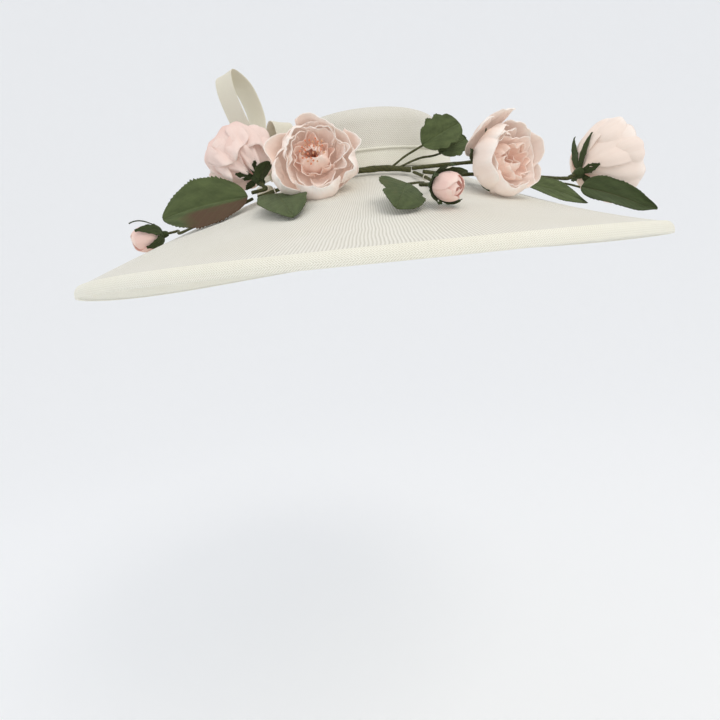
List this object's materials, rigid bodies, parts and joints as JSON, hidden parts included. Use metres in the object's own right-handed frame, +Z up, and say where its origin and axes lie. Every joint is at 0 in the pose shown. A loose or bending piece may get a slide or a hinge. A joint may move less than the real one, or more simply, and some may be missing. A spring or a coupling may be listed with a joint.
{
  "type": "wide-brimmed occasion hat",
  "caption": "Wide-brimmed straw occasion hat with a shallow oval crown, folded band and edge, a straw bow, and a spray of silk roses, buds and leaves on wired stems.",
  "frame": {"origin": "centre of the head opening, at the foot of the crown, where the brim meets it", "axes": "+Z up the crown, -Y towards the trimmed front, +X towards the end of the long rose stem"},
  "size_m": [0.528, 0.528, 0.1837],
  "materials": {
    "straw": "blocked woven straw, matt with a faint sheen",
    "straw_edge": "folded straw strip, brighter along the fold",
    "wire": "drawn spring wire",
    "grosgrain": "ribbed cotton ribbon",
    "silk_blush": "stiffened silk, blush with paler edges",
    "silk_mauve": "stiffened silk, mauve pink",
    "silk_peach": "stiffened silk, peach",
    "silk_bud": "wrapped silk, pink with cream tips",
    "stamens": "starched thread with sugared tips",
    "leaf_green": "pressed cotton velvet, deep green",
    "leaf_brown": "pressed cotton velvet, green turning red-brown",
    "tape": "waxed floral tape over wire, olive",
    "thread": "waxed cotton thread"
  },
  "bodies": {
    "hat": {"brim": "straw", "edge_fold": "straw_edge", "edge_wire": "wire", "crown": "straw", "crown_band": "straw_edge", "head_ribbon": "grosgrain", "ribbon_bow": "grosgrain", "head_wire": "wire", "bow_tall": "straw", "bow_short": "straw", "bow_knot": "straw", "rose_left_outer": "silk_mauve", "rose_left_inner": "silk_mauve", "rose_left_heart": "silk_mauve", "rose_left_calyx": "leaf_green", "rose_front_outer": "silk_blush", "rose_front_inner": "silk_blush", "rose_front_heart": "silk_peach", "rose_front_stamens": "stamens", "rose_front_calyx": "leaf_green", "rose_right_outer": "silk_blush", "rose_right_inner": "silk_blush", "rose_right_heart": "silk_peach", "rose_right_calyx": "leaf_green", "leaf_big": "leaf_green", "leaf_behind": "leaf_green", "leaf_under": "leaf_brown", "leaf_sliver": "leaf_green", "leaf_middle": "leaf_green", "leaf_long": "leaf_green", "stem_bundle": "tape", "stem_left_rose": "tape", "stem_front_rose": "tape", "stem_right_rose": "tape", "stem_end_rose": "tape", "stem_middle_leaf": "tape", "stem_bud_front": "tape", "stem_left": "tape", "stem_bud_left": "tape", "tie_front": "thread", "tie_left": "thread"},
    "end_rose": {"rose_end_outer": "silk_blush", "rose_end_inner": "silk_blush", "rose_end_heart": "silk_peach", "rose_end_calyx": "leaf_green"},
    "left_bud": {"bud_left": "silk_bud", "bud_left_sepals": "leaf_green"},
    "front_bud": {"bud_front": "silk_bud", "bud_front_sepals": "leaf_green"},
    "round_leaf": {"leaf_round": "leaf_green", "stem_round_leaf": "tape"},
    "curled_leaf": {"leaf_curled": "leaf_brown", "stem_curled_leaf": "tape"},
    "lobed_leaf": {"leaf_lobed": "leaf_brown", "stem_lobed_leaf": "tape"}
  },
  "joints": [
    {"name": "end_rose_nod", "type": "hinge", "parent": "hat", "child": "end_rose", "pos_m": [0.17067, -0.07435, -0.02025], "axis": [-0.4067, 0.9136, 0], "range_deg": [-15, 6]},
    {"name": "left_bud_nod", "type": "hinge", "parent": "hat", "child": "left_bud", "pos_m": [-0.18415, -0.04694, -0.02604], "axis": [0.2756, -0.9613, 0], "range_deg": [-20, 2]},
    {"name": "front_bud_nod", "type": "hinge", "parent": "hat", "child": "front_bud", "pos_m": [0.03694, -0.18197, -0.0274], "axis": [0.788, 0.6157, 0], "range_deg": [-20, 3]},
    {"name": "round_leaf_bend", "type": "hinge", "parent": "hat", "child": "round_leaf", "pos_m": [0.02224, -0.11406, 0.00042], "axis": [-0.149, 0.9888, 0], "range_deg": [-20, 8]},
    {"name": "curled_leaf_bend", "type": "hinge", "parent": "hat", "child": "curled_leaf", "pos_m": [0.15055, -0.09158, -0.02677], "axis": [0.1519, 0.9884, 0], "range_deg": [-5, 4]},
    {"name": "lobed_leaf_bend", "type": "hinge", "parent": "hat", "child": "lobed_leaf", "pos_m": [0.03518, -0.15402, -0.02166], "axis": [0.8723, -0.489, 0], "range_deg": [-25, 3]}
  ]
}
